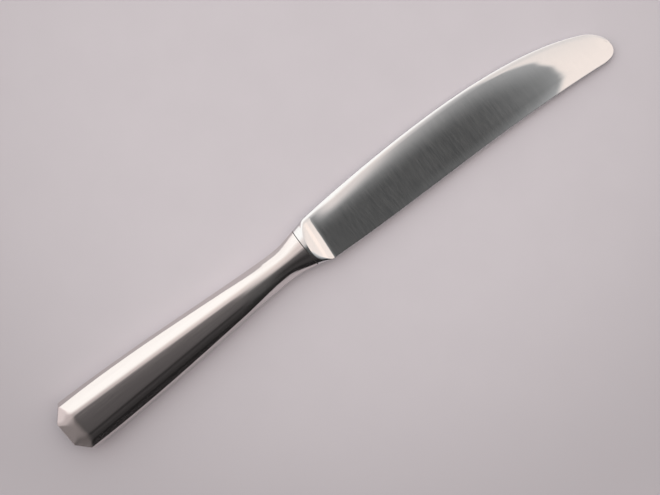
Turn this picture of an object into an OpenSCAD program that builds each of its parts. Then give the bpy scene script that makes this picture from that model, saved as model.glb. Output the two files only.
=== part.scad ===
// Dessert knife lying on its side. A forged blade with an oval bolster and a tang is cemented
// into a hollow faceted handle, which is made of two stamped shells that meet along a seam.
// The shapes are drawn about the knife's own axis: X from the butt to the tip, +Y the side of
// the spine, Z = 0 the plane of the seam. The finished knife is then laid on its flat face.

/* [Handle] */
// Length from the butt to the joint line
handle_length = 95.2; // [88:0.2:104]
// Width at the butt
butt_width = 18.3; // [17:0.1:20]
// Thickness at the butt
butt_thickness = 9; // [8:0.1:10]
// Width of the flat end of the butt
end_width = 8.4; // [7:0.1:10]
// Length of the cut-off corners of the butt
corner_length = 4.6; // [3.6:0.1:5.6]
// Width at the waist of the neck
waist_width = 10.4; // [9.6:0.1:12]
// Distance from the waist to the joint line
waist_setback = 9.2; // [8:0.1:11]
// Dip of the neck below the straight taper of the thickness
waist_dip = 0.25; // [0.1:0.05:0.4]
// Width of the oval joint
joint_width = 13.1; // [12:0.1:14]
// Thickness of the oval joint
joint_thickness = 6.2; // [5.8:0.1:6.8]
// Thickness of the shells
wall = 0.8; // [0.6:0.05:1]

/* [Facets] */
// Distance from the butt to the flat face
face_start = 6.2; // [5.4:0.1:7]
// Width of the flat face at the butt
face_width_butt = 7.4; // [6.4:0.1:8]
// Width of the flat face where the neck starts
face_width_neck = 4.3; // [3.8:0.1:4.8]
// Distance from the start of the neck to the joint line
neck_length = 29; // [25:0.5:34]
// Width of the bevel beside the flat face
bevel_width = 2.2; // [1.8:0.1:2.4]
// Drop of the bevel beside the flat face
bevel_drop = 0.85; // [0.65:0.05:1]
// Distance from the butt to the bevel at its end
bevel_start = 2.9; // [2.4:0.1:3.6]
// Width of the steep band beside the seam
band_width = 0.8; // [0.6:0.05:1]
// Slope in degrees of the facet between band and bevel
facet_slope = 39; // [35:1:42]

/* [Bolster] */
// Length from the joint line to the heel of the blade
bolster_length = 5; // [4.5:0.1:6]
// Width at the heel of the blade
bolster_width = 15.2; // [14:0.1:16]
// Depth by which each side has left the handle's taper at the heel
bolster_slim = 0.1; // [0.05:0.05:0.3]
// Distance from the joint line to the top of the shoulder
shoulder_start = 1.5; // [1.2:0.1:1.8]
// Slope of the shoulder in degrees
shoulder_slope = 30; // [28:1:34]

/* [Blade] */
// Length from the joint line to the tip
blade_length = 110.5; // [100:0.5:125]
// Height of the spine above the axis at the heel
heel_spine = 7.6; // [7:0.1:8]
// Depth of the edge below the axis at the heel
heel_edge = 8; // [7.5:0.1:8.5]
// Rise of the spine's curve in front of the heel
spine_rise = 2.3; // [1.5:0.1:3.5]
// Lead of the spine's curve in front of the heel
spine_lead = 34.2; // [28:0.1:40]
// Fall of the spine's curve towards the tip
tip_fall = 11.9; // [9:0.1:13]
// Lead of the spine's curve towards the tip
tip_lead = 23; // [18:0.1:28]
// Sag of the edge's curve in front of the heel
edge_sag = 1.8; // [1:0.1:3]
// Lead of the edge's curve in front of the heel
edge_lead = 35.4; // [28:0.1:40]
// Lift of the edge's curve behind the tip
edge_lift = 3.4; // [2:0.1:5]
// Lead of the edge's curve behind the tip
lift_lead = 36.5; // [28:0.1:40]
// Depth of the spine below the axis where the tip's rounding starts
tip_spine = 0.7; // [0.2:0.1:2]
// Depth of the foremost point of the tip below the axis
tip_middle = 7.5; // [7:0.1:8]
// Depth of the edge below the axis at the tip
tip_edge = 11.6; // [11.2:0.1:12.2]
// Length of the tip's rounding
tip_round = 5; // [4:0.1:6]
// Thickness of the spine at the heel
spine_thickness_heel = 2.1; // [1.8:0.05:2.4]
// Thickness of the spine at the tip
spine_thickness_tip = 1.1; // [0.9:0.05:1.4]
// Thickness of the face beside the edge bevel at the heel
face_thickness_heel = 1.5; // [1.2:0.05:1.7]
// Thickness of the face beside the edge bevel at the tip
face_thickness_tip = 0.8; // [0.6:0.05:0.9]
// Width of the edge bevel
edge_bevel = 1.2; // [0.8:0.1:1.6]
// Thickness of the edge
edge_thickness = 0.25; // [0.2:0.05:0.4]
// Width of the rounding along the spine
spine_round = 0.9; // [0.6:0.05:1.2]

/* [Tang] */
// Length of the tang inside the handle
tang_length = 58; // [45:1:75]
// Width of the tang at the joint line
tang_width = 6; // [5:0.1:6.4]
// Width of the tang at its end
tang_end_width = 3.5; // [3:0.1:4.5]
// Thickness of the tang
tang_thickness = 3; // [2.4:0.1:3.2]

/* [Joining] */
// Thickness of the film in the joint line
seal_thickness = 0.25; // [0.2:0.05:0.4]
// Depth of the film below the surface of the joint
seal_recess = 0.12; // [0.1:0.02:0.2]
// Width of the solder run inside the seam
solder_width = 0.8; // [0.6:0.1:1]
// Height of the solder run inside the seam
solder_height = 1; // [0.8:0.1:1.4]
// Gap between the filler and what it fills
fit_gap = 0.15; // [0.1:0.05:0.25]

/* [Hidden] */

// Steps along the side of the handle, along its neck, along the blade and round the tip
side_steps = 14;
neck_steps = 7;
blade_steps = 22;
tip_steps = 9;
// Share of the tip's rounding that is drawn before a small flat closes it
tip_share = 0.95;
// Cut-off at the corners of the flat face
face_corner = 0.25;
// Leads and fall of the curve along the handle's side
side_lead = 33;
side_fall = 0.25;
waist_lead = 14;
neck_lead = 4;
joint_lead = 2.8;
// Leads of the tip's rounding at the spine, at the edge and at its foremost point
round_spine_lead = 0.9;
round_edge_lead = 3.6;
round_middle_lead = 3.1;
// Largest share of the blade's width that a rounding or a bevel takes near the tip
narrow_share = 0.3;
// Half thicknesses of the spine's rounding as shares of the spine's half thickness
spine_crest = 0.4;
spine_shoulder = 0.8;
// Share of the rounding's width at its shoulder
shoulder_share = 0.35;
// Thickness of the tip as a share of the thickness where its rounding starts
tip_thinning = 0.7;
// Length of the blade's root inside the bolster, and how far the root is drawn in
root_length = 2;
root_inset = 1.1;
// Cut-off at the corners of the tang's end
tang_corner = 0.8;
// Overlap of solids that are one piece
overlap = 1;
// Size of the blocks that cut the solids
block = 300;

waist_x = handle_length - waist_setback;
neck_x = handle_length - neck_length;
seal_x = handle_length + seal_thickness;
heel_x = handle_length + bolster_length;
tip_x = handle_length + blade_length;
round_x = tip_x - tip_round;
tang_x = handle_length - tang_length;
taper = (butt_thickness - joint_thickness) / 2 / handle_length;
joint_flare = (bolster_width - joint_width) / 2 / bolster_length;
rest_tilt = atan(taper);
rest_height = butt_thickness / 2 * cos(rest_tilt);
// Angles on an oval of the levels of a section, from the seam to the crown
level_angles = [0, 16, 32, 41, 50, 61, 72, 81, 90];
crown = len(level_angles) - 1;
face_level = crown - 2;

function mix(a, b, share) = a + (b - a) * share;
function clamp(value) = min(1, max(0, value));
function smooth(share) = share * share * (3 - 2 * share);
function bezier(p, t) =
    p[0] * pow(1 - t, 3) + p[1] * 3 * t * pow(1 - t, 2) + p[2] * 3 * t * t * (1 - t) + p[3] * pow(t, 3);

// Half the thickness of the handle's straight taper
function half_thickness(x) = butt_thickness / 2 - x * taper;
// Share of the oval in a section: none along the facets, all of it from the waist on
function oval_share(x) = smooth(clamp((x - neck_x) / (waist_x - neck_x)));
function neck_dip(x) = waist_dip * sin(180 * clamp((x - neck_x) / neck_length));
function face_half(x) =
    mix(face_width_butt, face_width_neck, (x - face_start) / (neck_x - face_start)) / 2;

// Outline of the handle's side: distance from the butt and half width
side_curve = [
    [corner_length, butt_width / 2],
    [corner_length + side_lead, butt_width / 2 - side_fall],
    [waist_x - waist_lead, waist_width / 2],
    [waist_x, waist_width / 2]
];
neck_curve = [
    [waist_x, waist_width / 2],
    [waist_x + neck_lead, waist_width / 2],
    [handle_length - joint_lead, joint_width / 2 - joint_lead * joint_flare],
    [handle_length, joint_width / 2]
];
side_points = concat(
    [for (i = [0 : side_steps - 1]) bezier(side_curve, i / side_steps)],
    [for (i = [0 : neck_steps]) bezier(neck_curve, i / neck_steps)]
);

// Outlines of the blade, from the heel to the foremost point of the tip
spine_curve = [
    [heel_x, heel_spine],
    [heel_x + spine_lead, heel_spine + spine_rise],
    [round_x - tip_lead, tip_fall - tip_spine],
    [round_x, -tip_spine]
];
spine_round_curve = [
    [round_x, -tip_spine],
    [round_x + round_spine_lead, -tip_spine - round_spine_lead * tip_fall / tip_lead],
    [tip_x, round_middle_lead - tip_middle],
    [tip_x, -tip_middle]
];
edge_curve = [
    [heel_x, -heel_edge],
    [heel_x + edge_lead, -heel_edge - edge_sag],
    [round_x - lift_lead, edge_lift - tip_edge],
    [round_x, -tip_edge]
];
edge_round_curve = [
    [round_x, -tip_edge],
    [round_x + round_edge_lead, -tip_edge],
    [tip_x, -round_middle_lead - tip_middle],
    [tip_x, -tip_middle]
];
function blade_line(curve, round_curve) = concat(
    [for (i = [0 : blade_steps - 1]) bezier(curve, i / blade_steps)],
    [for (i = [0 : tip_steps]) bezier(round_curve, tip_share * i / tip_steps)]
);
spine_points = blade_line(spine_curve, spine_round_curve);
edge_points = blade_line(edge_curve, edge_round_curve);

// Middle of the knife's outline, which the origin lies under
middle_x = max([for (p = spine_points) p[0]]) * cos(rest_tilt) / 2;
highest_y = max(butt_width / 2, max([for (p = spine_points) p[1]]));
lowest_y = min([for (p = edge_points) p[1]]);

// Quarter of a faceted section, from the seam to the crown
function facet_quarter(x, half) =
    let (
        top = half_thickness(x),
        face = [face_half(x), top],
        bevel = [face[0] + bevel_width, top - bevel_drop],
        band_y = half - band_width,
        band = [band_y, bevel[1] - (band_y - bevel[0]) * tan(facet_slope)],
        seam = [half, 0]
    )
    [seam, mix(seam, band, 0.5), band, mix(band, bevel, 0.5), bevel, mix(bevel, face, 0.5), face,
        [face[0] / 2, top], [0, top]];

// Quarter of a handle section, drawn in by inset, which turns from facets to an oval at the neck
function handle_quarter(x, half, inset) =
    let (
        facets = facet_quarter(x, half),
        thick = half_thickness(x) - neck_dip(x),
        shrink_y = (half - inset) / half,
        shrink_z = (thick - inset) / thick
    )
    [for (i = [0 : crown])
        let (
            oval = [half * cos(level_angles[i]), thick * sin(level_angles[i])],
            p = mix(facets[i], oval, oval_share(x))
        )
        [x, p[0] * shrink_y, p[1] * shrink_z]];

// Quarter of the ring at the cut-off corners, which leans to where the flat face starts
function corner_quarter(inset) =
    let (
        quarter = handle_quarter(corner_length, butt_width / 2, inset),
        seam_y = quarter[0][1],
        lean = face_start + face_corner - corner_length
    )
    [for (p = quarter)
        let (x = corner_length + lean * clamp((seam_y - p[1]) / (seam_y - quarter[face_level][1])))
        [x + inset / 2, p[1], p[2] * half_thickness(x) / half_thickness(corner_length)]];

// Quarter of the ring round the flat end of the butt
function end_quarter(inset) =
    let (
        corner = corner_quarter(inset),
        half_end = end_width / 2 * (butt_width / 2 - inset) / (butt_width / 2),
        half_face = corner[face_level][1] - face_corner,
        face_drop = half_thickness(face_start) / half_thickness(face_start + face_corner),
        levels = [
            [0, half_end],
            [band_width / 2, half_end],
            [band_width, half_end],
            [(band_width + bevel_start) / 2, half_end],
            [bevel_start, half_end],
            [(bevel_start + face_start) / 2, (half_end + half_face) / 2],
            [face_start, half_face],
            [face_start, half_face / 2],
            [face_start, 0]
        ]
    )
    [for (i = [0 : crown])
        [levels[i][0] + inset, levels[i][1], corner[i][2] * (i < face_level ? 1 : face_drop)]];

function oval_quarter(x, half, thick) = [for (a = level_angles) [x, half * cos(a), thick * sin(a)]];

// Whole ring from a quarter: up from the seam at +Y, over the crown, down and under
function ring(q) = concat(
    q,
    [for (i = [crown - 1 : -1 : 0]) [q[i][0], -q[i][1], q[i][2]]],
    [for (i = [1 : crown]) [q[i][0], -q[i][1], -q[i][2]]],
    [for (i = [crown - 1 : -1 : 1]) [q[i][0], q[i][1], -q[i][2]]]
);

// Faces across the flat end of the butt, from the seam up and down to the flat faces
butt_faces = concat(
    [for (i = [0 : face_level - 2]) [i, i + 1, 2 * crown - i - 1, 2 * crown - i]],
    [[for (i = [face_level - 1 : 2 * crown - face_level + 1]) i]],
    [for (i = [0 : face_level - 2])
        [(4 * crown - i) % (4 * crown), 2 * crown + i, 2 * crown + i + 1, 4 * crown - i - 1]],
    [concat(
        [4 * crown - face_level + 1],
        [for (i = [2 * crown + face_level - 1 : 4 * crown - face_level]) i]
    )]
);

// Solid through a row of rings, with the given faces over its first ring
module loft(rings, first_faces) {
    count = len(rings[0]);
    last = (len(rings) - 1) * count;
    sides = [
        for (r = [0 : len(rings) - 2])
        for (i = [0 : count - 1])
        let (a = r * count + i, b = r * count + (i + 1) % count)
        each [[a, b + count, b], [a, a + count, b + count]]
    ];
    last_face = [for (i = [count - 1 : -1 : 0]) last + i];
    polyhedron(points = [for (r = rings) each r], faces = concat(first_faces, sides, [last_face]));
}

function plain_face(points) = [[for (i = [0 : len(points) - 1]) i]];

// Solid of the handle, drawn in by inset and carried past the joint by extra
module handle_core(inset, extra) {
    joint = handle_quarter(handle_length, joint_width / 2, inset);
    quarters = concat(
        [end_quarter(inset), corner_quarter(inset)],
        [for (i = [1 : len(side_points) - 1])
            handle_quarter(side_points[i][0], side_points[i][1], inset)],
        extra > 0 ? [[for (p = joint) p + [extra, 0, 0]]] : []
    );
    loft([for (q = quarters) ring(q)], butt_faces);
}

// Outline of the handle in the plane of the seam, drawn in by inset and ended at reach
function seam_outline(inset, reach) =
    let (
        half_end = end_width / 2 * (butt_width / 2 - inset) / (butt_width / 2),
        one_side = concat(
            [[inset, half_end], [corner_length + inset / 2, butt_width / 2 - inset]],
            [for (i = [1 : len(side_points) - 2]) side_points[i] - [0, inset]],
            [[reach, joint_width / 2 - inset]]
        )
    )
    concat(one_side, [for (i = [len(one_side) - 1 : -1 : 0]) [one_side[i][0], -one_side[i][1]]]);

// Half of the handle's hollow shell: the half above the seam, or the half below it
module shell(upper) {
    difference() {
        handle_core(0, 0);
        handle_core(wall, overlap);
        translate([-block / 2, -block / 2, upper ? -block : 0])
        cube(block);
    }
}

// Lean of the shell's wall beside the seam, and the solder's place inside it
band_lean = band_width / facet_quarter(corner_length, butt_width / 2)[2][1];
solder_inset = wall + band_lean * solder_height / 2 + fit_gap;
filler_end = handle_length - fit_gap;

module seam_strip(outer, inner, height) {
    linear_extrude(height = height, center = true)
    difference() {
        polygon(seam_outline(outer, filler_end));
        polygon(seam_outline(inner, filler_end + overlap));
    }
}

module tang(gap, reach) {
    end_half = tang_end_width / 2 + gap;
    root_half = tang_width / 2 + gap;
    end_x = tang_x - gap;
    one_side = [
        [end_x, end_half - tang_corner],
        [end_x + tang_corner, end_half],
        [handle_length, root_half],
        [reach, root_half]
    ];
    linear_extrude(height = tang_thickness + 2 * gap, center = true)
    polygon(concat(one_side, [for (i = [len(one_side) - 1 : -1 : 0]) [one_side[i][0], -one_side[i][1]]]));
}

module bolster() {
    slim = bolster_slim / bolster_length;
    function bolster_ring(x) = ring(oval_quarter(
        x,
        joint_width / 2 + (x - handle_length) * joint_flare,
        half_thickness(x) - (x - handle_length) * slim
    ));
    top_x = handle_length + shoulder_start;
    top_z = half_thickness(top_x) - shoulder_start * slim;
    rings = [bolster_ring(seal_x), bolster_ring(heel_x + overlap)];
    difference() {
        loft(rings, plain_face(rings[0]));
        for (side = [0, 1])
        mirror([0, 0, side])
        translate([top_x, -block / 2, top_z])
        rotate([0, shoulder_slope, 0])
        cube(block);
    }
}

// Ring round the blade between a point of the spine and a point of the edge
function blade_ring(spine, edge, spine_half, face_half) =
    let (
        width = norm(edge - spine),
        across = (edge - spine) / width,
        rounding = min(spine_round, width * narrow_share),
        bevel = min(edge_bevel, width * narrow_share),
        profile = [
            [0, spine_half * spine_crest],
            [rounding * shoulder_share, spine_half * spine_shoulder],
            [rounding, spine_half],
            [width - bevel, face_half],
            [width, edge_thickness / 2]
        ]
    )
    concat(
        [for (p = profile) concat(spine + across * p[0], p[1])],
        [for (i = [len(profile) - 1 : -1 : 0]) concat(spine + across * profile[i][0], -profile[i][1])]
    );

module blade_leaf() {
    root = blade_ring(
        [heel_x - root_length, heel_spine - root_inset],
        [heel_x - root_length, root_inset - heel_edge],
        spine_thickness_heel / 2,
        face_thickness_heel / 2
    );
    rings = [for (i = [0 : len(spine_points) - 1])
        let (
            along = clamp(i / blade_steps),
            thin = mix(1, tip_thinning, clamp((i - blade_steps) / tip_steps))
        )
        blade_ring(
            spine_points[i],
            edge_points[i],
            mix(spine_thickness_heel, spine_thickness_tip, along) / 2 * thin,
            mix(face_thickness_heel, face_thickness_tip, along) / 2 * thin
        )];
    loft(concat([root], rings), plain_face(root));
}

// Lays the knife on its flat face, with the origin under the middle of its outline
module lay_down() {
    translate([-middle_x, -(highest_y + lowest_y) / 2, rest_height])
    rotate([0, rest_tilt, 0])
    children();
}

module blade() {
    color("silver")
    lay_down() {
        blade_leaf();
        bolster();
        tang(0, seal_x + overlap);
    }
}

module handle_upper_shell() {
    color("gainsboro")
    lay_down()
    shell(true);
}

module handle_lower_shell() {
    color("lightgray")
    lay_down()
    shell(false);
}

module seam_solder() {
    color("darkgray")
    lay_down()
    seam_strip(solder_inset, solder_inset + solder_width, solder_height);
}

module handle_filler() {
    color("tan")
    lay_down()
    difference() {
        handle_core(wall + fit_gap, overlap);
        translate([filler_end, -block / 2, -block / 2])
        cube(block);
        tang(fit_gap, handle_length + 2 * overlap);
        seam_strip(0, solder_inset + solder_width + fit_gap, solder_height + 2 * fit_gap);
    }
}

module mouth_seal() {
    outline = ring(handle_quarter(handle_length, joint_width / 2, seal_recess));
    color("dimgray")
    lay_down()
    translate([handle_length, 0, 0])
    rotate([90, 0, 90])
    linear_extrude(height = seal_thickness)
    difference() {
        polygon([for (p = outline) [p[1], p[2]]]);
        square([tang_width + 2 * fit_gap, tang_thickness + 2 * fit_gap], center = true);
    }
}

blade();
handle_upper_shell();
handle_lower_shell();
seam_solder();
handle_filler();
mouth_seal();
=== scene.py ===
import math

import bmesh
import bpy
import numpy as np
from bpy.props import FloatProperty, FloatVectorProperty, PointerProperty
from mathutils import Matrix, Vector


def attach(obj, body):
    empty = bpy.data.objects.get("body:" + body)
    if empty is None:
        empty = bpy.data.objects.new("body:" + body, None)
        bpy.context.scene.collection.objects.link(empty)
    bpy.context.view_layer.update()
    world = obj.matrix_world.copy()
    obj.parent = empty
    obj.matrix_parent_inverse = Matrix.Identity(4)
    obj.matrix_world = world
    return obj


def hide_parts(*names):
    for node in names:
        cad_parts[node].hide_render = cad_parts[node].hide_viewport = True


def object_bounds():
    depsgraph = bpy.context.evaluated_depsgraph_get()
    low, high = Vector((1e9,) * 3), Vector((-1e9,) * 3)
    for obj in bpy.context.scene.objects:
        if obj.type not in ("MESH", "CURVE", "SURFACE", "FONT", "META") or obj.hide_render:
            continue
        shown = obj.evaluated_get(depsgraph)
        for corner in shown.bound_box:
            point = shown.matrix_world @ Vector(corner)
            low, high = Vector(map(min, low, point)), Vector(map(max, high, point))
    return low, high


bl_info = {
    "name": "Dessert Knife",
    "version": (1, 0, 0),
    "blender": (4, 5, 0),
    "location": "3D View > Sidebar > Dessert Knife",
    "description": "Builds a dessert knife with a hollow faceted handle and a curved blade",
    "category": "Add Mesh",
}

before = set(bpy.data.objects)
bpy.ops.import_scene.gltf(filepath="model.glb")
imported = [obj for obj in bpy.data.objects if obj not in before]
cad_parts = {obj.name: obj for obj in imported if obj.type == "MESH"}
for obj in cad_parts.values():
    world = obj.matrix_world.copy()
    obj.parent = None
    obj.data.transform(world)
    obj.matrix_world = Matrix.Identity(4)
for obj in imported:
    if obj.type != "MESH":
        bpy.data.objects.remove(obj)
CAD_LOW, CAD_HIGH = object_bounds()
MM = 0.001
BODY = "root"

# Image that the camera is set up for, in pixels, and the width of the camera's sensor
IMAGE_WIDTH = 660
SENSOR_WIDTH = 36

# Points along each curve of the handle's outline
CURVE_POINTS = 200

# Rows of the handle's mesh: its end, cut-off corners, end bevel, flat face and neck
END_ROWS = 12
CORNER_ROWS = 30
BEVEL_ROWS = 26
FACE_ROWS = 70
NECK_ROWS = 60

# Columns of the handle's mesh on each side: band, facet, bevel and half of the flat face
HANDLE_COLUMNS = (14, 18, 18, 12)

# Stretches of the handle that get closer rows, and the least width of its facet
END_LENGTH = 1 * MM
FACE_MARGIN = 1.5 * MM
LEAST_FACET = 0.1 * MM

# Rows and columns of the forging's mesh, and the part of the blade with closer rows at the heel
BOLSTER_ROWS = 47
HEEL_ROWS = 24
BLADE_ROWS = 130
TIP_ROWS = 48
BLADE_COLUMNS = 97
HEEL_SHARE = 0.06

# How far the forging's columns crowd towards spine and edge
COLUMN_CROWDING = 0.8

# Points round the film in the joint line
FILM_POINTS = 120

# Angles above which an edge of a mesh stays sharp
HANDLE_CREASE = math.radians(50)
BLADE_CREASE = math.radians(55)
FILM_CREASE = math.radians(40)

# Points closer than this become one, and thinner faces go
MERGE_DISTANCE = 0.0005 * MM
SLIVER = 0.0002 * MM

# Keeps a division from failing where a length is zero
TINY = 1e-9

# Angles on an oval that the corners of the faceted section turn into, from the seam to the crown
SEAM_ANGLE = 0
BAND_ANGLE = 32
BEVEL_ANGLE = 50
FACE_ANGLE = 72
CROWN_ANGLE = 90

# Strength of the lit sky, the shares of it that ceiling and wash reach, and the dim room's strength
SKY_STRENGTH = 1.41
CEILING_LEVEL = 0.66
WASH_LEVEL = 0.97
ROOM_LEVEL = 0.018

# Tints of the studio's light
WINDOW_TINT = (1.0, 0.87, 0.79, 1)
CEILING_TINT = (1.0, 0.87, 0.81, 1)
CEILING_TIP_TINT = (1.0, 0.91, 0.89, 1)
WASH_TINT = (1.0, 1.0, 0.97, 1)
ROOM_TINT = (0.98, 1.0, 1.0, 1)
ROOM_HANDLE_TINT = (1.03, 0.975, 0.985, 1)
BACK_TINT = (1.0, 0.9, 0.89, 1)

# Painted falloff of light: brightness of the floor far from the knife, as a share of its colour
PAINTED_FALLOFF_LEVEL = 0.75

# How fast the blade's face steepens towards the spine
CROWN_POWER = 2.4

# Where the facet at the butt's corners ends, as a share of the depth of its neighbours
CORNER_SHARE = 0.93

# Values of the noise between which a finish goes from one shade to the other
NOISE_LOW = 0.3
NOISE_HIGH = 0.7

# Haze that fine scratches lay over polished steel, and the values of the noise between which it sets in
SCRATCH_ROUGHNESS = 0.45
SCRATCH_IOR = 1.8
SCRATCH_LOW = 0.32
SCRATCH_HIGH = 0.68

# How far steel, dull finishes and floor vary in shade and roughness, and the depth of a dull finish
LINE_SHADE = 0.015
HAZE_ROUGHNESS = 0.02
MOTTLE_DARK = 0.75
MOTTLE_PALE = 1.15
MOTTLE_ROUGHNESS = 0.15
MOTTLE_DEPTH = 0.05 * MM
SPECK_SHADE = 0.01

# Share of the crown that is lost in the tip's rounding
TIP_FLATNESS = 0.8

# Part of the tip's rounding that is drawn; a small flat closes the rest
TIP_SHARE = 0.97


def length(name, description, millimetres):
    """Property for a length that is given in millimetres."""
    return FloatProperty(
        name=name, description=description, default=millimetres * MM, unit="LENGTH", precision=5
    )


def colour(name, description, red, green, blue):
    """Property for a colour in linear light."""
    return FloatVectorProperty(
        name=name, description=description, default=(red, green, blue), subtype="COLOR", min=0, max=1
    )


def share(name, description, value):
    """Property for a plain number from 0 to 1."""
    return FloatProperty(name=name, description=description, default=value, min=0, max=1, subtype="FACTOR")


def angle(name, description, degrees):
    """Property for an angle that is given in degrees."""
    return FloatProperty(name=name, description=description, default=math.radians(degrees), subtype="ANGLE")


class HandleSizes(bpy.types.PropertyGroup):
    """Sizes of the hollow handle, measured from the butt along the knife's axis."""

    length: length("Length", "From the butt to the joint line", 95.2)
    butt_width: length("Butt width", "Width at the butt", 18.3)
    butt_thickness: length("Butt thickness", "Thickness at the butt", 9)
    end_width: length("End width", "Width of the flat end of the butt", 8.4)
    corner_length: length("Corner length", "Length of the cut-off corners of the butt", 4.6)
    waist_width: length("Waist width", "Width at the waist of the neck", 10.4)
    waist_setback: length("Waist setback", "From the waist to the joint line", 9.2)
    waist_dip: length("Waist dip", "Dip of the neck below the straight taper", 0.25)
    joint_width: length("Joint width", "Width of the oval joint", 13.1)
    joint_thickness: length("Joint thickness", "Thickness of the oval joint", 6.2)
    joint_lead: length("Joint lead", "Lead of the neck's curve behind the joint", 2.8)
    wall: length("Wall", "Thickness of the shells", 0.8)
    side_lead: length("Side lead", "Lead of the side's curve in front of the corner", 33)
    side_fall: length("Side fall", "Fall of the side's curve over that lead", 0.25)
    waist_lead: length("Waist lead", "Lead of the side's curve behind the waist", 14)
    neck_lead: length("Neck lead", "Lead of the neck's curve in front of the waist", 4)
    face_start: length("Face start", "From the butt to the flat face", 6.2)
    face_width_butt: length("Face width at butt", "Width of the flat face at the butt", 8.5)
    face_width_neck: length("Face width at neck", "Width of the flat face where the neck starts", 4.8)
    neck_length: length("Neck length", "From the start of the neck to the joint line", 29)
    bevel_width: length("Bevel width", "Width of the bevel beside the flat face", 2.2)
    bevel_drop: length("Bevel drop", "Drop of the bevel beside the flat face", 0.85)
    bevel_start: length("Bevel start", "From the butt to the bevel at its end", 2.9)
    band_width: length("Band width", "Width of the steep band beside the seam", 0.8)
    facet_slope: angle("Facet slope", "Slope of the facet between band and bevel", 38)
    band_slope: angle("Band slope", "Slope of the steep band beside the seam", 67)
    neck_band_slope: angle("Neck band slope", "Slope of the steep band on the neck", 51)
    face_crown: length("Face crown", "Fall of the flat face from its middle to its sides", 0.045)
    face_edge: length("Face edge", "Softness of the edge between flat face and bevel", 0.35)
    bevel_edge: length("Bevel edge", "Softness of the edge between bevel and facet", 0.2)
    band_edge: length("Band edge", "Softness of the edge between facet and band", 0.25)
    neck_edge: length("Neck edge", "Softness of the edge above the steep band on the neck", 0.9)
    corner_edge: length("Corner edge", "Softness of the edges at the butt", 0.45)


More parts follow.
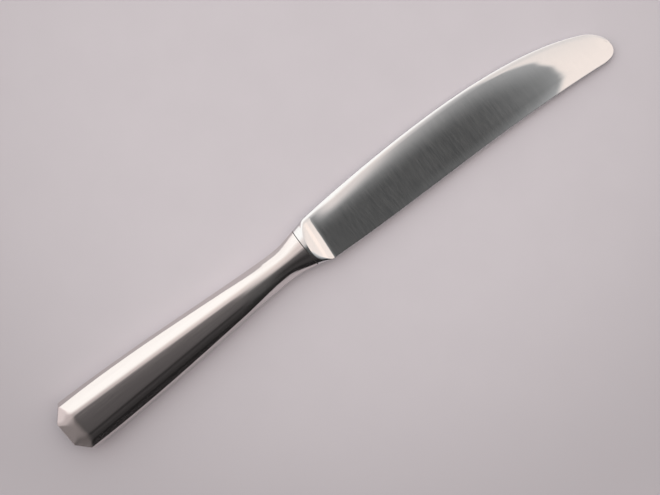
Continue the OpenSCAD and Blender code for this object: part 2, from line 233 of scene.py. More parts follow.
class BladeSizes(bpy.types.PropertyGroup):
    """Sizes of the forging: blade, bolster and tang."""

    length: length("Length", "From the joint line to the tip", 110.47)
    bolster_length: length("Bolster length", "From the joint line to the heel", 5)
    bolster_width: length("Bolster width", "Width at the heel", 15.2)
    bolster_slim: length("Bolster slim", "Depth by which each side leaves the handle's taper", 0.1)
    shoulder_height: length("Shoulder height", "Height of the hollow shoulder at the joint line", 5.2)
    shoulder_run_out: length("Shoulder run-out", "Length in which the shoulder falls to a third", 1.55)
    shoulder_lean: angle("Shoulder lean", "Turn of the shoulder's line towards the edge", 6.8)
    shoulder_edge: length("Shoulder edge", "Softness of the edge of the shoulder", 0.6)
    heel_spine: length("Heel spine", "Height of the spine above the axis at the heel", 7.6)
    heel_edge: length("Heel edge", "Depth of the edge below the axis at the heel", 8)
    spine_rise: length("Spine rise", "Rise of the spine's curve in front of the heel", 2.3)
    spine_lead: length("Spine lead", "Lead of the spine's curve in front of the heel", 34.2)
    tip_fall: length("Tip fall", "Fall of the spine's curve towards the tip", 11.9)
    tip_lead: length("Tip lead", "Lead of the spine's curve towards the tip", 23)
    edge_sag: length("Edge sag", "Sag of the edge's curve in front of the heel", 1.8)
    edge_lead: length("Edge lead", "Lead of the edge's curve in front of the heel", 35.4)
    edge_lift: length("Edge lift", "Lift of the edge's curve behind the tip", 3.4)
    lift_lead: length("Lift lead", "Lead of the edge's curve behind the tip", 36.5)
    tip_spine: length("Tip spine", "Depth of the spine where the tip's rounding starts", 0.7)
    tip_middle: length("Tip middle", "Depth of the foremost point of the tip", 7.5)
    tip_edge: length("Tip edge", "Depth of the edge at the tip", 11.6)
    tip_round: length("Tip round", "Length of the tip's rounding", 5)
    round_spine_lead: length("Round spine lead", "Lead of the tip's rounding at the spine", 1.4)
    round_edge_lead: length("Round edge lead", "Lead of the tip's rounding at the edge", 3.6)
    round_middle_lead: length("Round middle lead", "Lead of the tip's rounding at its front", 3.1)
    spine_heel: length("Spine thickness at heel", "Thickness of the spine at the heel", 2.3)
    spine_tip: length("Spine thickness at tip", "Thickness of the spine at the tip", 1.3)
    face_heel: length("Face thickness at heel", "Thickness beside the edge bevel at the heel", 1.5)
    face_tip: length("Face thickness at tip", "Thickness beside the edge bevel at the tip", 0.8)
    edge_slope: angle("Edge slope", "Slope of the bevel along the edge", 44)
    heel_slope: angle("Heel slope", "Slope of that bevel at the heel", 76)
    heel_slope_lead: length("Heel slope lead", "Length over which that bevel turns flatter", 75)
    front_slope: angle("Front slope", "Slope of the rim round the tip", 22)
    edge_fall: length("Edge fall", "Fall of the face towards the edge", 0.17)
    edge_fall_width: length("Edge fall width", "Width of the stretch that falls towards the edge", 4.5)
    edge_thickness: length("Edge thickness", "Thickness of the edge", 0.25)
    spine_round: length("Spine round", "Width of the rounding along the spine", 1.6)
    spine_crest: share("Spine crest", "Share of the thickness that is left at the spine's outline", 0.45)
    bevel_edge: length("Bevel edge", "Softness of the edge between face and edge bevel", 0.06)
    root_length: length("Root length", "Length over which the blade leaves the bolster's sides", 5)
    tip_thinning: share("Tip thinning", "Share of the thickness that is left at the tip", 0.85)
    crown_width: length("Crown width", "Width of the stretch that falls towards the spine", 9.5)
    crown_drop: length("Crown drop", "Fall of the face towards the spine", 0.39)
    roll_width: length("Roll width", "Width of the further fall beside the spine at the heel", 5)
    roll_drop: length("Roll drop", "Depth of the further fall beside the spine at the heel", 0.5)
    roll_start: length("Roll start", "Distance from the heel to the start of the further fall", 2)
    roll_rise: length("Roll rise", "Distance over which the further fall sets in", 9)
    roll_lead: length("Roll lead", "Distance from the heel over which the further fall ends", 41)
    heel_rise: length("Heel rise", "Height of the long run-out in front of the shoulder", 0.15)
    heel_tail: length("Heel tail", "Length of the long run-out in front of the shoulder", 4)
    tang_length: length("Tang length", "Length of the tang inside the handle", 58)
    tang_width: length("Tang width", "Width of the tang at the joint line", 6)
    tang_end_width: length("Tang end width", "Width of the tang at its end", 3.5)
    tang_thickness: length("Tang thickness", "Thickness of the tang", 3)
    tang_corner: length("Tang corner", "Cut-off at the corners of the tang's end", 0.8)
    film_thickness: length("Film thickness", "Thickness of the film in the joint line", 0.25)
    film_recess: length("Film recess", "Depth of the film below the joint's surface", 0.12)
    film_gap: length("Film gap", "Gap between the film and the tang", 0.15)


class Finishes(bpy.types.PropertyGroup):
    """Colours of the finishes."""

    handle_steel: colour("Handle steel", "Polished steel of the handle", 0.72, 0.68, 0.67)
    blade_steel: colour("Blade steel", "Polished steel of the blade", 0.695, 0.69, 0.695)
    joint_film: colour("Joint film", "Dark film in the joint line", 0.06, 0.055, 0.05)
    solder: colour("Solder", "Brazing metal inside the seam", 0.72, 0.66, 0.5)
    cement: colour("Cement", "Cement inside the handle", 0.5, 0.4, 0.29)
    floor: colour("Floor", "Pale table top", 0.782, 0.748, 0.8)


class StageSizes(bpy.types.PropertyGroup):
    """Camera, floor and light."""

    camera_distance: length("Camera distance", "From the camera to the middle of the picture", 480)
    camera_tilt: angle("Camera tilt", "Angle between the view and straight down", 10)
    knife_turn: angle("Knife turn", "Angle of the knife's axis to the picture's lower side", 38.12)
    aim_along: length("Aim along", "Middle of the picture along the knife, from the butt", 100.93)
    aim_across: length("Aim across", "Middle of the picture across the knife, from its axis", -5)
    focal_pixels: FloatProperty(name="Focal length", description="In pixels of the picture", default=1560)
    floor_size: length("Floor size", "Side of the floor", 6000)
    # Painted pool of light on the floor: how far it reaches and where it is palest
    light_pool_fade: length("Floor fade", "Distance over which the floor darkens", 165)
    light_pool_middle: FloatVectorProperty(
        name="Floor middle",
        description="Palest place of the floor",
        default=(0.034, 0.042, 0),
        subtype="TRANSLATION",
    )


class KnifeSettings(bpy.types.PropertyGroup):
    """Everything that can be set on the knife."""

    handle: PointerProperty(type=HandleSizes)
    blade: PointerProperty(type=BladeSizes)
    finish: PointerProperty(type=Finishes)
    stage: PointerProperty(type=StageSizes)


def mix(start, end, part):
    """Value at a part of the way from start to end."""
    return start + (end - start) * part


def smooth(part):
    """Part of the way with a soft start and end."""
    part = np.clip(part, 0, 1)
    return part * part * (3 - 2 * part)


def bezier(points, part):
    """Points of a cubic curve at the given parts of it."""
    a, b, c, d = (np.array(point, float) for point in points)
    part = np.atleast_1d(part)[:, None]
    rest = 1 - part
    return a * rest**3 + 3 * b * part * rest**2 + 3 * c * part**2 * rest + d * part**3


def soft_min(first, second, softness):
    """Lower of two heights, with the corner between them rounded off."""
    softness = np.maximum(softness, TINY)
    near = np.maximum(softness - np.abs(first - second), 0) / softness
    return np.minimum(first, second) - near * near * softness / 4


def ramp(distance, low, high):
    """Height of the straight slope through two points, each a distance and a height."""
    return low[1] + (distance - low[0]) * (high[1] - low[1]) / (high[0] - low[0])


def spans(*stops):
    """Values from stop to stop: each stop after the first comes with its count of steps."""
    values = [np.array([stops[0]])]
    for stop, count in stops[1:]:
        values.append(np.linspace(values[-1][-1], stop, count + 1)[1:])
    return np.concatenate(values)


class KnifeShape:
    """Shape of the knife about its own axis: X from the butt to the tip, +Y to the spine."""

    def __init__(self, settings):
        self.handle = settings.handle
        self.blade = settings.blade
        handle = self.handle
        blade = self.blade
        self.taper = (handle.butt_thickness - handle.joint_thickness) / 2 / handle.length
        self.flare = (blade.bolster_width - handle.joint_width) / 2 / blade.bolster_length
        self.waist_x = handle.length - handle.waist_setback
        self.neck_x = handle.length - handle.neck_length
        self.film_x = handle.length + blade.film_thickness
        self.heel_x = handle.length + blade.bolster_length
        self.tip_x = handle.length + blade.length
        self.round_x = self.tip_x - blade.tip_round
        self.side = self.side_line()

    def to_row(self):
        """Matrix that lays the knife on its lower flat face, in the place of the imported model."""
        tilt = math.atan(self.taper)
        half = self.handle.butt_thickness / 2
        place = Vector((CAD_LOW.x, CAD_HIGH.y - self.handle.butt_width / 2, half * math.cos(tilt)))
        return Matrix.Translation(place) @ Matrix.Rotation(tilt, 4, "Y")

    def half_thickness(self, x):
        """Half thickness on the straight taper from the butt to the bolster."""
        return self.handle.butt_thickness / 2 - x * self.taper

    def side_line(self):
        """Outline of the handle's side, as distances from the butt and half widths."""
        handle = self.handle
        waist = handle.waist_width / 2
        joint = handle.joint_width / 2
        side = [
            (handle.corner_length, handle.butt_width / 2),
            (handle.corner_length + handle.side_lead, handle.butt_width / 2 - handle.side_fall),
            (self.waist_x - handle.waist_lead, waist),
            (self.waist_x, waist),
        ]
        neck = [
            (self.waist_x, waist),
            (self.waist_x + handle.neck_lead, waist),
            (handle.length - handle.joint_lead, joint - handle.joint_lead * self.flare),
            (handle.length, joint),
        ]
        parts = np.linspace(0, 1, CURVE_POINTS)
        corner = np.array([[0, handle.end_width / 2]])
        return np.concatenate([corner, bezier(side, parts), bezier(neck, parts)[1:]])

    def half_width(self, x):
        """Half width of the handle's outline."""
        return np.interp(x, self.side[:, 0], self.side[:, 1])

    def face_half(self, x):
        """Half width of the handle's flat face."""
        handle = self.handle
        along = (x - handle.face_start) / (self.neck_x - handle.face_start)
        return mix(handle.face_width_butt, handle.face_width_neck, along) / 2

    def facet_height(self, x, y):
        """Height of the faceted handle above its seam."""
        handle = self.handle
        y = np.abs(y)
        top = self.half_thickness(x)
        bevel_z = top - handle.bevel_drop
        side_x = np.maximum(x, handle.corner_length)
        side_half = self.half_width(side_x)
        face_in = side_half - self.face_half(x)
        bevel_in = face_in - handle.bevel_width
        band_z = bevel_z - (bevel_in - handle.band_width) * math.tan(handle.facet_slope)
        corner = np.array([handle.corner_length, (handle.butt_width - handle.end_width) / 2])
        inward = np.array([corner[1], -corner[0]]) / np.linalg.norm(corner)
        from_side = side_half - y
        from_corner = x * inward[0] + (y - handle.end_width / 2) * inward[1]
        corner_band = handle.band_width * inward[0]
        corner_bevel = mix(handle.bevel_start, bevel_in, 0.5) * CORNER_SHARE
        corner_face = handle.face_start * inward[0] - handle.band_width * inward[1]
        face = top - handle.face_crown * (y / self.face_half(x)) ** 2
        bevel = ramp(from_side, (bevel_in, bevel_z), (face_in, top))
        facet = bevel_z + (from_side - bevel_in) * math.tan(handle.facet_slope)
        height = soft_min(face, bevel, handle.face_edge)
        height = soft_min(height, facet, handle.bevel_edge)
        rounded = self.neck_thickness(x) * np.sqrt(1 - np.clip(y / side_half, 0, 1) ** 2)
        neck = smooth((x - self.neck_x) / (self.waist_x - self.neck_x))
        height = mix(height, rounded, neck)
        steep = mix(math.tan(handle.band_slope), math.tan(handle.neck_band_slope), neck)
        side_band = from_side * steep
        lower = np.maximum(np.minimum(height, side_band), 0)
        softness = mix(handle.band_edge, handle.neck_edge, neck)
        height = soft_min(height, side_band, np.minimum(softness, lower / 2))
        ends = [
            (from_corner, corner_band, corner_bevel, corner_face),
            (x, handle.band_width, handle.bevel_start, handle.face_start),
        ]
        for distance, band_at, bevel_at, face_at in ends:
            band = ramp(distance, (0, 0), (band_at, band_z))
            facet = ramp(distance, (band_at, band_z), (bevel_at, bevel_z))
            bevel = ramp(distance, (bevel_at, bevel_z), (face_at, top))
            profile = soft_min(bevel, facet, handle.corner_edge)
            profile = soft_min(profile, band, handle.band_edge)
            lower = np.maximum(np.minimum(height, profile), 0)
            height = soft_min(height, profile, np.minimum(handle.corner_edge, lower / 2))
        return np.maximum(height, 0)

    def band_half(self, x):
        """Half width at which the steep band meets the facet or, on the neck, the rounded top."""
        handle = self.handle
        side_half = self.half_width(np.maximum(x, handle.corner_length))
        facet = math.tan(handle.facet_slope)
        bevel_in = side_half - self.face_half(x) - handle.bevel_width
        bevel_z = self.half_thickness(x) - handle.bevel_drop
        width = (bevel_z - bevel_in * facet) / (math.tan(handle.band_slope) - facet)
        return side_half - np.clip(width, handle.band_width / 2, handle.band_width * 2)

    def neck_thickness(self, x):
        """Half thickness of the neck, with its dip."""
        neck = np.clip((x - self.neck_x) / self.handle.neck_length, 0, 1)
        return self.half_thickness(x) - self.handle.waist_dip * np.sin(math.pi * neck)

    def handle_grid(self, inset):
        """Points of the handle's upper half, drawn in by inset: rows along it, columns across it."""
        handle = self.handle
        x = spans(
            0,
            (END_LENGTH, END_ROWS),
            (handle.corner_length, CORNER_ROWS),
            (handle.face_start + FACE_MARGIN, BEVEL_ROWS),
            (self.neck_x, FACE_ROWS),
            (handle.length, NECK_ROWS),
        )
        half = self.half_width(x)
        side_half = self.half_width(np.maximum(x, handle.corner_length))
        face = self.face_half(x)
        band = self.band_half(x)
        bevel = np.minimum(face + handle.bevel_width, band - LEAST_FACET)
        levels = [side_half, band, bevel, face, 0 * face]
        angles = np.radians([SEAM_ANGLE, BAND_ANGLE, BEVEL_ANGLE, FACE_ANGLE, CROWN_ANGLE])
        quarter_y = []
        quarter_angle = []
        for i, count in enumerate(HANDLE_COLUMNS):
            for part in np.arange(count) / count:
                quarter_y.append(mix(levels[i], levels[i + 1], part))
                quarter_angle.append(mix(angles[i], angles[i + 1], part))
        y = np.stack([*quarter_y, levels[-1], *[-line for line in reversed(quarter_y)]], axis=1)
        turn = np.array([*quarter_angle, angles[-1], *[math.pi - a for a in reversed(quarter_angle)]])
        x = x[:, None] + 0 * y
        y = y * (half / side_half)[:, None]
        oval = smooth((x - self.waist_x) / handle.waist_setback)
        y = mix(y, half[:, None] * np.cos(turn), oval)
        thick = self.neck_thickness(x)
        rounded = thick * np.sqrt(np.maximum(1 - (y / half[:, None]) ** 2, 0))
        z = mix(self.facet_height(x, y), rounded, oval)
        y = y * ((half - inset) / half)[:, None]
        z = z * (thick - inset) / thick
        x = x + inset * (1 - x / handle.length)
        return np.stack([x, y, z], axis=2)

    def blade_rows(self):
        """Points of spine and edge, row by row, from the bolster's back to the tip."""
        blade = self.blade
        handle = self.handle
        joint = handle.joint_width / 2 + blade.film_thickness * self.flare
        back = np.linspace(0, 1, BOLSTER_ROWS, endpoint=False)
        bolster_spine = straight_line((self.film_x, joint), (self.heel_x, blade.heel_spine), back)
        bolster_edge = straight_line((self.film_x, -joint), (self.heel_x, -blade.heel_edge), back)
        spine = [
            (self.heel_x, blade.heel_spine),
            (self.heel_x + blade.spine_lead, blade.heel_spine + blade.spine_rise),
            (self.round_x - blade.tip_lead, blade.tip_fall - blade.tip_spine),
            (self.round_x, -blade.tip_spine),
        ]
        edge = [
            (self.heel_x, -blade.heel_edge),
            (self.heel_x + blade.edge_lead, -blade.heel_edge - blade.edge_sag),
            (self.round_x - blade.lift_lead, blade.edge_lift - blade.tip_edge),
            (self.round_x, -blade.tip_edge),
        ]
        drop = blade.round_spine_lead * blade.tip_fall / blade.tip_lead
        spine_round = [
            (self.round_x, -blade.tip_spine),
            (self.round_x + blade.round_spine_lead, -blade.tip_spine - drop),
            (self.tip_x, blade.round_middle_lead - blade.tip_middle),
            (self.tip_x, -blade.tip_middle),
        ]
        edge_round = [
            (self.round_x, -blade.tip_edge),
            (self.round_x + blade.round_edge_lead, -blade.tip_edge),
            (self.tip_x, -blade.round_middle_lead - blade.tip_middle),
            (self.tip_x, -blade.tip_middle),
        ]
        along = spans(0, (HEEL_SHARE, HEEL_ROWS), (1, BLADE_ROWS))
        nose = smooth_end(TIP_ROWS) * TIP_SHARE
        spine_points = np.concatenate([bolster_spine, bezier(spine, along), bezier(spine_round, nose)])
        edge_points = np.concatenate([bolster_edge, bezier(edge, along), bezier(edge_round, nose)])
        parts = np.concatenate([0 * back, along, 1 + nose])
        return spine_points, edge_points, parts

    def blade_grid(self):
        """Points of the forging's upper half: rows from tang to tip, columns from spine to edge."""
        blade = self.blade
        spine, edge, part = self.blade_rows()
        even = np.linspace(0, 1, BLADE_COLUMNS)
        across = mix(even, (1 - np.cos(math.pi * even)) / 2, COLUMN_CROWDING)
        plan = spine[:, None] + (edge - spine)[:, None] * across[None, :, None]
        x, y = plan[..., 0], plan[..., 1]
        from_spine = distance_to_line(plan, spine)
        from_edge = distance_to_line(plan, edge)
        along = np.clip(part, 0, 1)[:, None]
        thin = mix(1, blade.tip_thinning, np.clip(part - 1, 0, 1))[:, None]
        spine_half = mix(blade.spine_heel, blade.spine_tip, along) / 2 * thin
        face_half = mix(blade.face_heel, blade.face_tip, along) / 2 * thin
        ahead = x - self.heel_x
        tail = blade.heel_rise * np.exp(-ahead / blade.heel_tail)
        crown = blade.crown_drop * (1 - np.clip(from_spine / blade.crown_width, 0, 1)) ** CROWN_POWER
        early = smooth((ahead - blade.roll_start) / blade.roll_rise)
        late = 1 - smooth(ahead / blade.roll_lead)
        roll = blade.roll_drop * (1 - np.clip(from_spine / blade.roll_width, 0, 1)) ** CROWN_POWER
        beside = 1 - np.clip(from_edge / blade.edge_fall_width, 0, 1)
        nose = smooth(part - 1)[:, None]
        crown = crown * (1 - TIP_FLATNESS * nose)
        fall = crown + roll * early * late + blade.edge_fall * beside**2 * (1 - late)
        face = mix(spine_half, face_half, across[None, :]) + tail - fall
        near = 1 - np.clip(from_spine / blade.spine_round, 0, 1)
        rounded = face * mix(blade.spine_crest, 1, np.sqrt(1 - near * near))
        front = blade.edge_thickness / 2 + from_spine * math.tan(blade.front_slope)
        rounded = mix(rounded, soft_min(face, front, blade.bevel_edge), nose)
        turned = smooth(ahead / blade.heel_slope_lead)
        steep = mix(math.tan(blade.heel_slope), math.tan(blade.edge_slope), turned)
        bevel = blade.edge_thickness / 2 + from_edge * steep
        leaf = soft_min(rounded, bevel, blade.bevel_edge)
        half = np.where(y > 0, spine[:, 1][:, None], -edge[:, 1][:, None])
        reach = x - self.handle.length
        thick = self.half_thickness(x) - reach * blade.bolster_slim / blade.bolster_length
        oval = thick * np.sqrt(np.maximum(1 - (y / half) ** 2, 0))
        down = (reach - y * math.tan(blade.shoulder_lean)) / blade.shoulder_run_out
        shoulder = leaf + blade.shoulder_height * np.exp(-down)
        root = smooth(ahead / blade.root_length + 1 / 2)
        limit = oval + root * blade.spine_heel
        height = soft_min(limit, shoulder, np.minimum(blade.shoulder_edge, limit))
        upper = np.stack([x, y, height], axis=2)
        return np.concatenate([self.tang_rows(across), upper])

    def tang_rows(self, across):
        """Rows of the tang, from its end to the bolster's back."""
        blade = self.blade
        end = self.handle.length - blade.tang_length
        end_half = blade.tang_end_width / 2
        root_half = blade.tang_width / 2
        outline = [
            (end, end_half - blade.tang_corner),
            (end + blade.tang_corner, end_half),
            (self.handle.length, root_half),
            (self.film_x, root_half),
        ]
        rows = []
        for x, half in outline:
            y = mix(half, -half, across)
            rows.append(np.stack([x + 0 * y, y, blade.tang_thickness / 2 + 0 * y], axis=1))
        return np.array(rows)


def straight_line(start, end, part):
    """Points of a straight line at the given parts of it."""
    return np.array(start) + (np.array(end) - np.array(start)) * part[:, None]


def smooth_end(count):
    """Parts of a curve that crowd towards its end and stop just before it."""
    turn = np.linspace(0, math.pi / 2, count + 2)[1:-1]
    return np.sin(turn)


def distance_to_line(plan, line):
    """Distance of each point in the plan to a line through points."""
    start = line[:-1]
    step = line[1:] - start
    size = np.maximum((step * step).sum(1), TINY**2)
    result = np.empty(plan.shape[:2])
    for i, row in enumerate(plan):
        offset = row[:, None] - start[None]
        part = np.clip((offset * step).sum(2) / size, 0, 1)
        gap = offset - part[..., None] * step
        result[i] = np.sqrt((gap * gap).sum(2)).min(1)
    return result


def grid_faces(rows, columns, first, flip):
    """Faces of a grid of points whose numbers start at first."""
    faces = []
    for i in range(rows - 1):
        for j in range(columns - 1):
            a = first + i * columns + j
            face = (a, a + columns, a + columns + 1, a + 1)
            faces.append(face[::-1] if flip else face)
    return faces


def rim(rows, columns, first):
    """Numbers of the points round a grid, in order."""
    top = [first + j for j in range(columns)]
    right = [first + i * columns + columns - 1 for i in range(1, rows)]
    bottom = [first + (rows - 1) * columns + j for j in range(columns - 2, -1, -1)]
    left = [first + i * columns for i in range(rows - 2, 0, -1)]
    return top + right + bottom + left


def make_piece(name, points, faces, matrix, material, nodes, sharp):
    """Mesh object in the place of the CAD nodes that it stands for."""
    mesh = bpy.data.meshes.new(name)
    mesh.from_pydata([tuple(p) for p in points], [], faces)
    edit = bmesh.new()
    edit.from_mesh(mesh)
    bmesh.ops.remove_doubles(edit, verts=edit.verts, dist=MERGE_DISTANCE)
    bmesh.ops.dissolve_degenerate(edit, edges=edit.edges, dist=SLIVER)
    bmesh.ops.recalc_face_normals(edit, faces=edit.faces)
    edit.to_mesh(mesh)
    edit.free()
    mesh.transform(matrix)
    mesh.shade_smooth()
    mesh.set_sharp_from_angle(angle=sharp)
    mesh.materials.append(material)
    piece = bpy.data.objects.new(name, mesh)
    bpy.context.scene.collection.objects.link(piece)
    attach(piece, BODY)
    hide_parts(*nodes)
    return piece


class Wire:
    """A socket's value, which Python's own operators turn into nodes."""

    def __init__(self, desk, socket):
        self.desk = desk
        self.socket = socket

    def math(self, operation, first, second):
        return self.desk.node("ShaderNodeMath", {"operation": operation}, {0: first, 1: second})

    def __add__(self, other):
        return self.math("ADD", self, other)

    def __radd__(self, other):
        return self.math("ADD", other, self)

    def __sub__(self, other):
        return self.math("SUBTRACT", self, other)

    def __rsub__(self, other):
        return self.math("SUBTRACT", other, self)

    def __mul__(self, other):
        return self.math("MULTIPLY", self, other)

    def __rmul__(self, other):
        return self.math("MULTIPLY", other, self)

    def step(self, low, high):
        """Smooth rise from 0 at low to 1 at high."""
        settings = {"interpolation_type": "SMOOTHSTEP"}
        inputs = {"Value": self, "From Min": low, "From Max": high}
        return self.desk.node("ShaderNodeMapRange", settings, inputs)


class Desk:
    """A node tree, with one way to add any node to it."""

    def __init__(self, tree):
        self.tree = tree
        tree.nodes.clear()

    def node(self, kind, settings=None, inputs=None, output=0):
        """Node of any kind: its settings come first, then the values or links of its sockets."""
        made = self.tree.nodes.new(kind)
        for name, value in (settings or {}).items():
            setattr(made, name, value)
        for name, value in (inputs or {}).items():
            if isinstance(value, Wire):
                self.tree.links.new(value.socket, made.inputs[name])
            else:
                made.inputs[name].default_value = value
        return Wire(self, made.outputs[output] if made.outputs else None)

    def blend(self, factor, first, second):
        """Colour between two colours."""
        sockets = {"Factor": factor, "A": first, "B": second}
        made = self.tree.nodes.new("ShaderNodeMix")
        made.data_type = "RGBA"
        for name, value in sockets.items():
            kind = "VALUE" if name == "Factor" else "RGBA"
            socket = next(s for s in made.inputs if s.name == name and s.type == kind)
            if isinstance(value, Wire):
                self.tree.links.new(value.socket, socket)
            else:
                socket.default_value = value
        return Wire(self, next(s for s in made.outputs if s.type == "RGBA"))


def new_material(name):
    """Material with an empty node tree, and the desk to fill it."""
    material = bpy.data.materials.new(name)
    material.use_nodes = True
    return material, Desk(material.node_tree)


def rgba(colour_value, level=1):
    """Colour of a node socket, at a level of its brightness."""
    return (*[channel * level for channel in colour_value], 1)


def steel_material(name, base, grain, depth, roughness, scratch):
    """Polished steel with fine lines: grain is how fast they change on each axis, scratch their haze."""
    material, desk = new_material(name)
    place = desk.node("ShaderNodeTexCoord", output="Object")
    stretched = desk.node("ShaderNodeMapping", inputs={"Vector": place, "Scale": grain})
    noise = {"Vector": stretched, "Scale": 1.0, "Detail": 5.0, "Roughness": 0.65}
    lines = desk.node("ShaderNodeTexNoise", inputs=noise)
    haze = desk.node("ShaderNodeTexNoise", inputs={"Vector": place, "Scale": 60.0, "Detail": 3.0})
    shade = lines.step(NOISE_LOW, NOISE_HIGH)
    tint = desk.blend(shade, rgba(base, 1 - LINE_SHADE), rgba(base, 1 + LINE_SHADE))
    rough = roughness + HAZE_ROUGHNESS * haze
    normal = desk.node("ShaderNodeBump", inputs={"Height": lines, "Strength": 1.0, "Distance": depth})
    shader = {
        "Base Color": tint,
        "Metallic": 1.0,
        "Roughness": rough,
        "Normal": normal,
        "Coat Weight": scratch * lines.step(SCRATCH_LOW, SCRATCH_HIGH),
        "Coat Roughness": SCRATCH_ROUGHNESS,
        "Coat IOR": SCRATCH_IOR,
    }
    surface = desk.node("ShaderNodeBsdfPrincipled", inputs=shader)
    desk.node("ShaderNodeOutputMaterial", inputs={"Surface": surface})
    return material


def matt_material(name, base, grain, roughness, metallic):
    """Dull rough finish with a mottled colour."""
    material, desk = new_material(name)
    place = desk.node("ShaderNodeTexCoord", output="Object")
    mottle = desk.node("ShaderNodeTexNoise", inputs={"Vector": place, "Scale": grain, "Detail": 5.0})
    shade = mottle.step(NOISE_LOW, NOISE_HIGH)
    tint = desk.blend(shade, rgba(base, MOTTLE_DARK), rgba(base, MOTTLE_PALE))
    bump = {"Height": mottle, "Strength": 0.3, "Distance": MOTTLE_DEPTH}
    normal = desk.node("ShaderNodeBump", inputs=bump)
    shader = {
        "Base Color": tint,
        "Metallic": metallic,
        "Roughness": roughness + MOTTLE_ROUGHNESS * mottle,
        "Normal": normal,
    }
    surface = desk.node("ShaderNodeBsdfPrincipled", inputs=shader)
    desk.node("ShaderNodeOutputMaterial", inputs={"Surface": surface})
    return material


class KNIFE_OT_handle(bpy.types.Operator):
    """Makes the two shells of the hollow handle."""

    bl_idname = "dessert_knife.handle"
    bl_label = "Handle Shells"

    def execute(self, context):
        settings = context.scene.dessert_knife
        shape = KnifeShape(settings)
        outer = shape.handle_grid(0)
        inner = shape.handle_grid(settings.handle.wall)
        rows, columns = outer.shape[:2]
        count = rows * columns
        faces = grid_faces(rows, columns, 0, False) + grid_faces(rows, columns, count, True)
        outside = rim(rows, columns, 0)
        inside = rim(rows, columns, count)
        for i in range(len(outside)):
            faces.append((outside[i - 1], outside[i], inside[i], inside[i - 1]))
        points = np.concatenate([outer.reshape(-1, 3), inner.reshape(-1, 3)])
        material = steel_material(
            "handle_steel",
            settings.finish.handle_steel,
            grain=(25, 1600, 1600),
            depth=0.01 * MM,
            roughness=0.13,
            scratch=0.1,
        )
        for name, side in (("handle_upper_shell", 1), ("handle_lower_shell", -1)):
            placed = points * np.array([1, 1, side])
            matrix = shape.to_row()
            make_piece(
                name + "_polished", placed, faces, matrix, material, [name], HANDLE_CREASE
            )
        return {"FINISHED"}


class KNIFE_OT_blade(bpy.types.Operator):
    """Makes the forging of blade, bolster and tang."""

    bl_idname = "dessert_knife.blade"
    bl_label = "Blade"

    def execute(self, context):
        settings = context.scene.dessert_knife
        shape = KnifeShape(settings)
        upper = shape.blade_grid()
        lower = upper[:, ::-1] * np.array([1, 1, -1])
        rings = np.concatenate([upper, lower], axis=1)
        rows, columns = rings.shape[:2]
        faces = []
        for i in range(rows - 1):
            for j in range(columns):
                a = i * columns + j
                b = i * columns + (j + 1) % columns
                faces.append((a, a + columns, b + columns, b))
        faces.append(tuple(range(columns)))
        faces.append(tuple(range((rows - 1) * columns, rows * columns))[::-1])
        material = steel_material(
            "blade_steel",
            settings.finish.blade_steel,
            grain=(5200, 200, 200),
            depth=0.0002 * MM,
            roughness=0.015,
            scratch=0.85,
        )
        make_piece(
            "blade_polished",
            rings.reshape(-1, 3),
            faces,
            shape.to_row(),
            material,
            ["blade"],
            BLADE_CREASE,
        )
        return {"FINISHED"}


class KNIFE_OT_film(bpy.types.Operator):
    """Makes the dark film in the joint between handle and bolster."""

    bl_idname = "dessert_knife.film"
    bl_label = "Joint Film"

    def execute(self, context):
        settings = context.scene.dessert_knife
        shape = KnifeShape(settings)
        handle = settings.handle
        blade = settings.blade
        turn = np.linspace(0, 2 * math.pi, FILM_POINTS, endpoint=False)
        outer_y = (handle.joint_width / 2 - blade.film_recess) * np.cos(turn)
        outer_z = (handle.joint_thickness / 2 - blade.film_recess) * np.sin(turn)
        hole_y = blade.tang_width / 2 + blade.film_gap
        hole_z = blade.tang_thickness / 2 + blade.film_gap
        scale = 1 / np.maximum(np.abs(np.cos(turn)) / hole_y, np.abs(np.sin(turn)) / hole_z)
        back = handle.length
        front = shape.film_x
        loops = [
            (back, outer_y, outer_z),
            (front, outer_y, outer_z),
            (front, scale * np.cos(turn), scale * np.sin(turn)),
            (back, scale * np.cos(turn), scale * np.sin(turn)),
        ]
        rings = np.array([np.stack([x + 0 * y, y, z], axis=1) for x, y, z in loops])
        count = len(turn)
        faces = []
        for i in range(len(loops)):
            for j in range(count):
                a = i * count + j
                b = i * count + (j + 1) % count
                shift = (i + 1) % len(loops) * count - i * count
                faces.append((a, b, b + shift, a + shift))
        base = settings.finish.joint_film
        material = matt_material("joint_film", base, grain=900.0, roughness=0.6, metallic=0.0)
        make_piece(
            "mouth_seal_film",
            rings.reshape(-1, 3),
            faces,
            shape.to_row(),
            material,
            ["mouth_seal"],
            FILM_CREASE,
        )
        return {"FINISHED"}


class KNIFE_OT_inside(bpy.types.Operator):
    """Gives the solder and the cement inside the handle their finishes."""

    bl_idname = "dessert_knife.inside"
    bl_label = "Solder and Cement"

    def execute(self, context):
        finish = context.scene.dessert_knife.finish
        solder = matt_material("solder", finish.solder, grain=400.0, roughness=0.35, metallic=1.0)
        cement = matt_material("cement", finish.cement, grain=250.0, roughness=0.8, metallic=0.0)
        inside = (("seam_solder", "solder", solder), ("handle_filler", "cement", cement))
        for name, slot, material in inside:
            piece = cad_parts[name]
            if not piece.material_slots:
                piece.data.materials.append(material)
            for place in piece.material_slots:
                place.material = material
        return {"FINISHED"}


class KNIFE_OT_stage(bpy.types.Operator):
    """Makes the floor, the light and the camera."""

    bl_idname = "dessert_knife.stage"
    bl_label = "Stage"

    def execute(self, context):
        settings = context.scene.dessert_knife
        make_floor(settings)
        make_light(context.scene)
        make_camera(context.scene, settings)
        context.scene.view_settings.view_transform = "Standard"
        return {"FINISHED"}


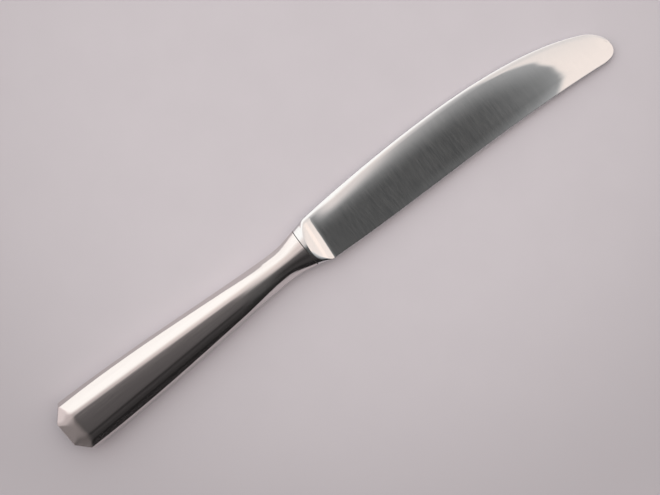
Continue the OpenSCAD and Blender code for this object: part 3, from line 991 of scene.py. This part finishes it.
def make_floor(settings):
    """Pale table top under the knife, with a painted pool of light that darkens it away from its palest
    place.
    """
    half = settings.stage.floor_size / 2
    mesh = bpy.data.meshes.new("floor")
    corners = [(-half, -half, 0), (half, -half, 0), (half, half, 0), (-half, half, 0)]
    mesh.from_pydata(corners, [], [(0, 1, 2, 3)])
    material, desk = new_material("floor")
    place = desk.node("ShaderNodeTexCoord", output="Object")
    specks = desk.node("ShaderNodeTexNoise", inputs={"Vector": place, "Scale": 60.0, "Detail": 4.0})
    base = settings.finish.floor
    shade = specks.step(NOISE_LOW, NOISE_HIGH)
    pale = desk.blend(shade, rgba(base, 1 - SPECK_SHADE), rgba(base, 1 + SPECK_SHADE))
    # Painted pool of light: the floor's colour darkens with the distance from its palest place, down to a
    # share of it far away
    middle = settings.stage.light_pool_middle
    offset = desk.node("ShaderNodeVectorMath", {"operation": "SUBTRACT"}, {0: place, 1: middle})
    squared = {0: offset, 1: offset}
    painted_pool_spread = desk.node("ShaderNodeVectorMath", {"operation": "DOT_PRODUCT"}, squared, "Value")
    tint = desk.blend(painted_pool_spread.step(0.0, settings.stage.light_pool_fade**2), pale, rgba(base, PAINTED_FALLOFF_LEVEL))
    surface = desk.node("ShaderNodeBsdfPrincipled", inputs={"Base Color": tint, "Roughness": 0.85})
    desk.node("ShaderNodeOutputMaterial", inputs={"Surface": surface})
    mesh.materials.append(material)
    floor = bpy.data.objects.new("floor", mesh)
    bpy.context.scene.collection.objects.link(floor)


def window_reach(along, across):
    """Reach beyond the tip, bent so that one value of it is the rounded border of the window."""
    low = (-0.1 - across) * across.step(-0.06, -0.18)
    bulge = 0.025 * across.step(-0.06, 0.025) - 0.005 * across.step(-0.1, -0.05)
    bulge = bulge + 0.002 * across.step(-0.13, -0.17) * across.step(-0.22, -0.18)
    return along + 0.122 * low + bulge


def window_light(along, across, reach):
    """Window beyond the tip, with a border that blurs towards the spine's side."""
    blur = 0.007 * across.step(-0.08, -0.01)
    border = reach.step(0.1162 - blur, 0.1217 + blur)
    height = across.step(-0.45, -0.3) * (1 - 0.55 * across.step(-0.2, 0.25)) * across.step(0.5, 0.3)
    pane = 0.18 * along.step(0.28, 0.36) * along.step(0.7, 0.5)
    return border * height * (0.86 + pane - 0.05 * along.step(0.5, 0.7))


def ceiling_light(along, across):
    """Panel overhead, which fades towards the edge's side, sooner behind the handle's neck."""
    panel = (0.5 + 0.5 * along.step(-0.28, -0.1)) * (0.4 + 0.6 * along.step(0.12, -0.05))
    rise = across.step(-0.17, 0.12)
    sooner = along.step(-0.05, -0.1) * (across.step(-0.1, 0.035) - rise)
    return CEILING_LEVEL * panel * (rise + sooner)


def wash_light(along, across):
    """Broad light from the spine's side, weaker behind the butt and near the table."""
    behind_butt = 1 - 0.6 * along.step(-0.4, -0.6)
    return WASH_LEVEL * across.step(0.12, 0.5) * behind_butt - 0.08 * across.step(0.75, 0.97)


def room_light(along, across, reach, behind):
    """Dim room on the edge's side: its wall, its far end and the light that the window throws."""
    wall = across.step(-0.2, -0.32) * across.step(-0.7, -0.5)
    wall = wall * (0.075 * along.step(-0.1, 0.05) + 0.12 * along.step(0.03, 0.11))
    wall = wall + 0.16 * across.step(-0.27, -0.38) * across.step(-0.8, -0.6) * along.step(0.0, 0.1)
    strip = across.step(-0.45, -0.6) * across.step(-0.85, -0.7) * along.step(-0.04, -0.1)
    dim = across.step(-0.4, -0.2) * (0.04 * along.step(-0.3, 0.0) + 0.045 * along.step(-0.05, -0.1))
    side = across.step(-0.8, -0.4) * (0.35 + 0.65 * along.step(-0.12, -0.04))
    glow = along.step(0.02, 0.13)
    thrown = 0.31 * glow * glow * across.step(-0.6, -0.25)
    beside = 0.06 * reach.step(0.104, 0.118) * across.step(-0.14, -0.19)
    return ROOM_LEVEL + 0.034 * side + 0.03 * strip + dim + wall + 0.2 * behind + thrown + beside


def make_light(scene):
    """Bright ceiling on the spine's side and beyond the tip, over a dim room on the other side."""
    world = bpy.data.worlds.new("studio")
    world.use_nodes = True
    scene.world = world
    desk = Desk(world.node_tree)
    toward = desk.node("ShaderNodeTexCoord", output="Generated")
    along = desk.node("ShaderNodeSeparateXYZ", inputs={"Vector": toward}, output="X")
    across = desk.node("ShaderNodeSeparateXYZ", inputs={"Vector": toward}, output="Y")
    reach = window_reach(along, across)
    window = window_light(along, across, reach)
    ceiling = ceiling_light(along, across)
    wash = wash_light(along, across)
    far_back = along.step(-0.3, -0.6)
    behind = far_back * (0.6 + 0.4 * across.step(-0.4, -0.1))
    room = room_light(along, across, reach, behind)
    lit = 1 - (1 - window) * (1 - ceiling) * (1 - wash)
    sky = desk.blend(along.step(-0.03, 0.06), CEILING_TINT, CEILING_TIP_TINT)
    sky = desk.blend(wash, sky, WASH_TINT)
    shade = desk.blend(along.step(-0.05, -0.1), ROOM_TINT, ROOM_HANDLE_TINT)
    sky = desk.blend(ceiling + wash + behind, shade, sky)
    sky = desk.blend(far_back, sky, BACK_TINT)
    tint = desk.blend(window, sky, WINDOW_TINT)
    strength = room * (1 - lit) + SKY_STRENGTH * lit
    background = desk.node("ShaderNodeBackground", inputs={"Color": tint, "Strength": strength})
    desk.node("ShaderNodeOutputWorld", inputs={"Surface": background})


def make_camera(scene, settings):
    """Camera nearly straight above the knife, leaning back from the picture's upper side."""
    stage = settings.stage
    turn = stage.knife_turn
    tilt = stage.camera_tilt
    right = Vector((math.cos(turn), -math.sin(turn), 0))
    up_flat = Vector((math.sin(turn), math.cos(turn), 0))
    back = up_flat * math.sin(tilt) + Vector((0, 0, math.cos(tilt)))
    up = up_flat * math.cos(tilt) - Vector((0, 0, math.sin(tilt)))
    axis_y = CAD_HIGH.y - settings.handle.butt_width / 2
    aim = Vector((CAD_LOW.x + stage.aim_along, axis_y + stage.aim_across, 0))
    camera = bpy.data.cameras.new("camera")
    camera.sensor_width = SENSOR_WIDTH
    camera.lens = stage.focal_pixels / IMAGE_WIDTH * camera.sensor_width
    view = bpy.data.objects.new("camera", camera)
    scene.collection.objects.link(view)
    turned = Matrix((right, up, back)).transposed().to_4x4()
    view.matrix_world = Matrix.Translation(aim + back * stage.camera_distance) @ turned
    scene.camera = view


OPERATORS = (KNIFE_OT_handle, KNIFE_OT_blade, KNIFE_OT_film, KNIFE_OT_inside, KNIFE_OT_stage)


class KNIFE_PT_panel(bpy.types.Panel):
    """Lists the knife's operators."""

    bl_idname = "KNIFE_PT_panel"
    bl_label = "Dessert Knife"
    bl_space_type = "VIEW_3D"
    bl_region_type = "UI"
    bl_category = "Dessert Knife"

    def draw(self, context):
        for operator in OPERATORS:
            self.layout.operator(operator.bl_idname)


CLASSES = (HandleSizes, BladeSizes, Finishes, StageSizes, KnifeSettings, *OPERATORS, KNIFE_PT_panel)


def register():
    for item in CLASSES:
        bpy.utils.register_class(item)
    bpy.types.Scene.dessert_knife = PointerProperty(type=KnifeSettings)


def unregister():
    del bpy.types.Scene.dessert_knife
    for item in reversed(CLASSES):
        bpy.utils.unregister_class(item)


def main():
    """Builds the knife and its stage."""
    register()
    bpy.ops.dessert_knife.handle()
    bpy.ops.dessert_knife.blade()
    bpy.ops.dessert_knife.film()
    bpy.ops.dessert_knife.inside()
    bpy.ops.dessert_knife.stage()


if __name__ == "__main__":
    main()
